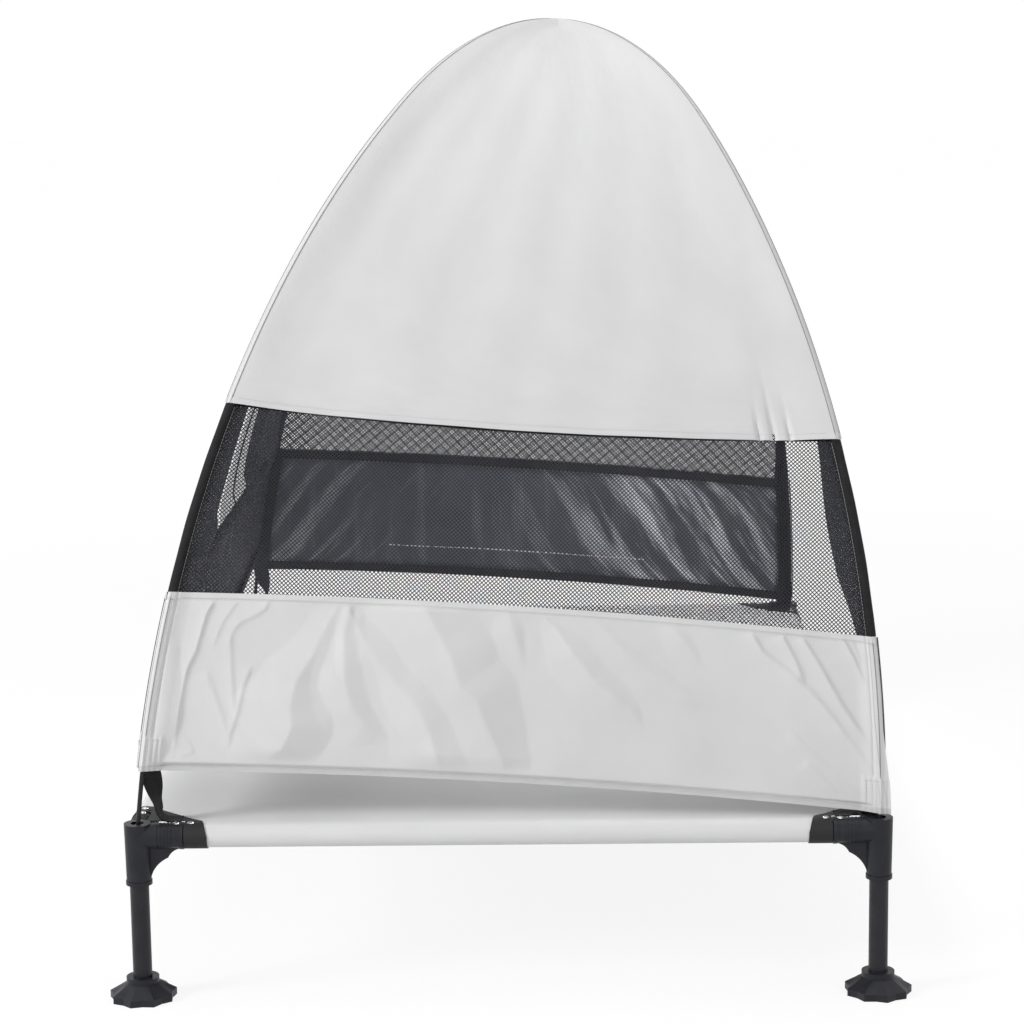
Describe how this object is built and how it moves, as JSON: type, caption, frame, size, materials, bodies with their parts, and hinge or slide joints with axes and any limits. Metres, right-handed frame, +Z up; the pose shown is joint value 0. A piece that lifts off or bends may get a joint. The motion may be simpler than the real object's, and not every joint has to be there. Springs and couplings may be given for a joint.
{
  "type": "raised dog cot with canopy",
  "caption": "Raised dog cot: a fabric sling on a tube frame with corner connectors and flared feet, under a lift-off crossed-pole canopy with mesh windows and an open side door.",
  "frame": {"origin": "on the floor, midway between the four legs", "axes": "+Z up, +X to the open doorway's side, -Y the front, towards the picture's viewer"},
  "size_m": [0.7989, 1.1065, 0.9637],
  "materials": {
    "black_tube": "satin black powder coat on steel tube",
    "black_plastic": "moulded, slightly grained",
    "sling_fabric": "tight coated weave",
    "patch_fabric": "coated reinforcement",
    "rivet_metal": "bright plated",
    "ferrule_metal": "drawn",
    "rod_plastic": "black glass-fibre rod",
    "canopy_fabric": "light woven, dark coated inside",
    "black_mesh": "open net",
    "facing_fabric": "dark coated, slightly shiny",
    "webbing": "woven tape"
  },
  "bodies": {
    "bed_frame": {"front_rail": "black_tube", "back_rail": "black_tube", "left_rail": "black_tube", "right_rail": "black_tube", "bed_sling": "sling_fabric", "rail_rivets": "rivet_metal", "patch_rivets": "rivet_metal", "connector_front_left": "black_plastic", "connector_front_right": "black_plastic", "connector_back_left": "black_plastic", "connector_back_right": "black_plastic", "patch_front_left": "patch_fabric", "patch_front_right": "patch_fabric", "patch_back_left": "patch_fabric", "patch_back_right": "patch_fabric"},
    "leg_front_left": {"leg_front_left": "black_tube"},
    "foot_front_left": {"foot_front_left": "black_plastic"},
    "leg_front_right": {"leg_front_right": "black_tube"},
    "foot_front_right": {"foot_front_right": "black_plastic"},
    "leg_back_left": {"leg_back_left": "black_tube"},
    "foot_back_left": {"foot_back_left": "black_plastic"},
    "leg_back_right": {"leg_back_right": "black_tube"},
    "foot_back_right": {"foot_back_right": "black_plastic"},
    "canopy": {"back_lower_panel": "canopy_fabric", "back_mesh_window": "black_mesh", "back_upper_panel": "canopy_fabric", "crown_cap": "canopy_fabric", "front_lower_panel": "canopy_fabric", "front_mesh_window": "black_mesh", "front_upper_panel": "canopy_fabric", "hold_down_straps": "webbing", "left_back_facing": "facing_fabric", "left_front_facing": "facing_fabric", "left_lower_panel": "canopy_fabric", "left_mesh_window": "black_mesh", "left_upper_panel": "canopy_fabric", "pole_1_crown": "rod_plastic", "pole_1_ferrules": "ferrule_metal", "pole_1_left_lower": "rod_plastic", "pole_1_left_upper": "rod_plastic", "pole_1_right_lower": "rod_plastic", "pole_1_right_upper": "rod_plastic", "pole_1_tips": "black_plastic", "pole_2_crown": "rod_plastic", "pole_2_ferrules": "ferrule_metal", "pole_2_left_lower": "rod_plastic", "pole_2_left_upper": "rod_plastic", "pole_2_right_lower": "rod_plastic", "pole_2_right_upper": "rod_plastic", "pole_2_tips": "black_plastic", "ridge_sleeve_back_left": "canopy_fabric", "ridge_sleeve_back_right": "canopy_fabric", "ridge_sleeve_front_left": "canopy_fabric", "ridge_sleeve_front_right": "canopy_fabric", "right_back_facing": "facing_fabric", "right_front_facing": "facing_fabric", "right_upper_panel": "canopy_fabric", "seam_bindings": "webbing"}
  },
  "joints": [
    {"name": "canopy_lift", "type": "slide", "parent": "bed_frame", "child": "canopy", "axis": [0, 0, 1], "range_m": [0, 0.1]},
    {"name": "leg_front_left_pull", "type": "slide", "parent": "bed_frame", "child": "leg_front_left", "axis": [0, 0, -1], "range_m": [0, 0.032]},
    {"name": "foot_front_left_turn", "type": "hinge", "parent": "leg_front_left", "child": "foot_front_left", "pos_m": [-0.366, -0.52, 0], "axis": [0, 0, 1], "continuous": true},
    {"name": "leg_front_right_pull", "type": "slide", "parent": "bed_frame", "child": "leg_front_right", "axis": [0, 0, -1], "range_m": [0, 0.032]},
    {"name": "foot_front_right_turn", "type": "hinge", "parent": "leg_front_right", "child": "foot_front_right", "pos_m": [0.366, -0.52, 0], "axis": [0, 0, 1], "continuous": true},
    {"name": "leg_back_left_pull", "type": "slide", "parent": "bed_frame", "child": "leg_back_left", "axis": [0, 0, -1], "range_m": [0, 0.032]},
    {"name": "foot_back_left_turn", "type": "hinge", "parent": "leg_back_left", "child": "foot_back_left", "pos_m": [-0.366, 0.52, 0], "axis": [0, 0, 1], "continuous": true},
    {"name": "leg_back_right_pull", "type": "slide", "parent": "bed_frame", "child": "leg_back_right", "axis": [0, 0, -1], "range_m": [0, 0.032]},
    {"name": "foot_back_right_turn", "type": "hinge", "parent": "leg_back_right", "child": "foot_back_right", "pos_m": [0.366, 0.52, 0], "axis": [0, 0, 1], "continuous": true}
  ]
}
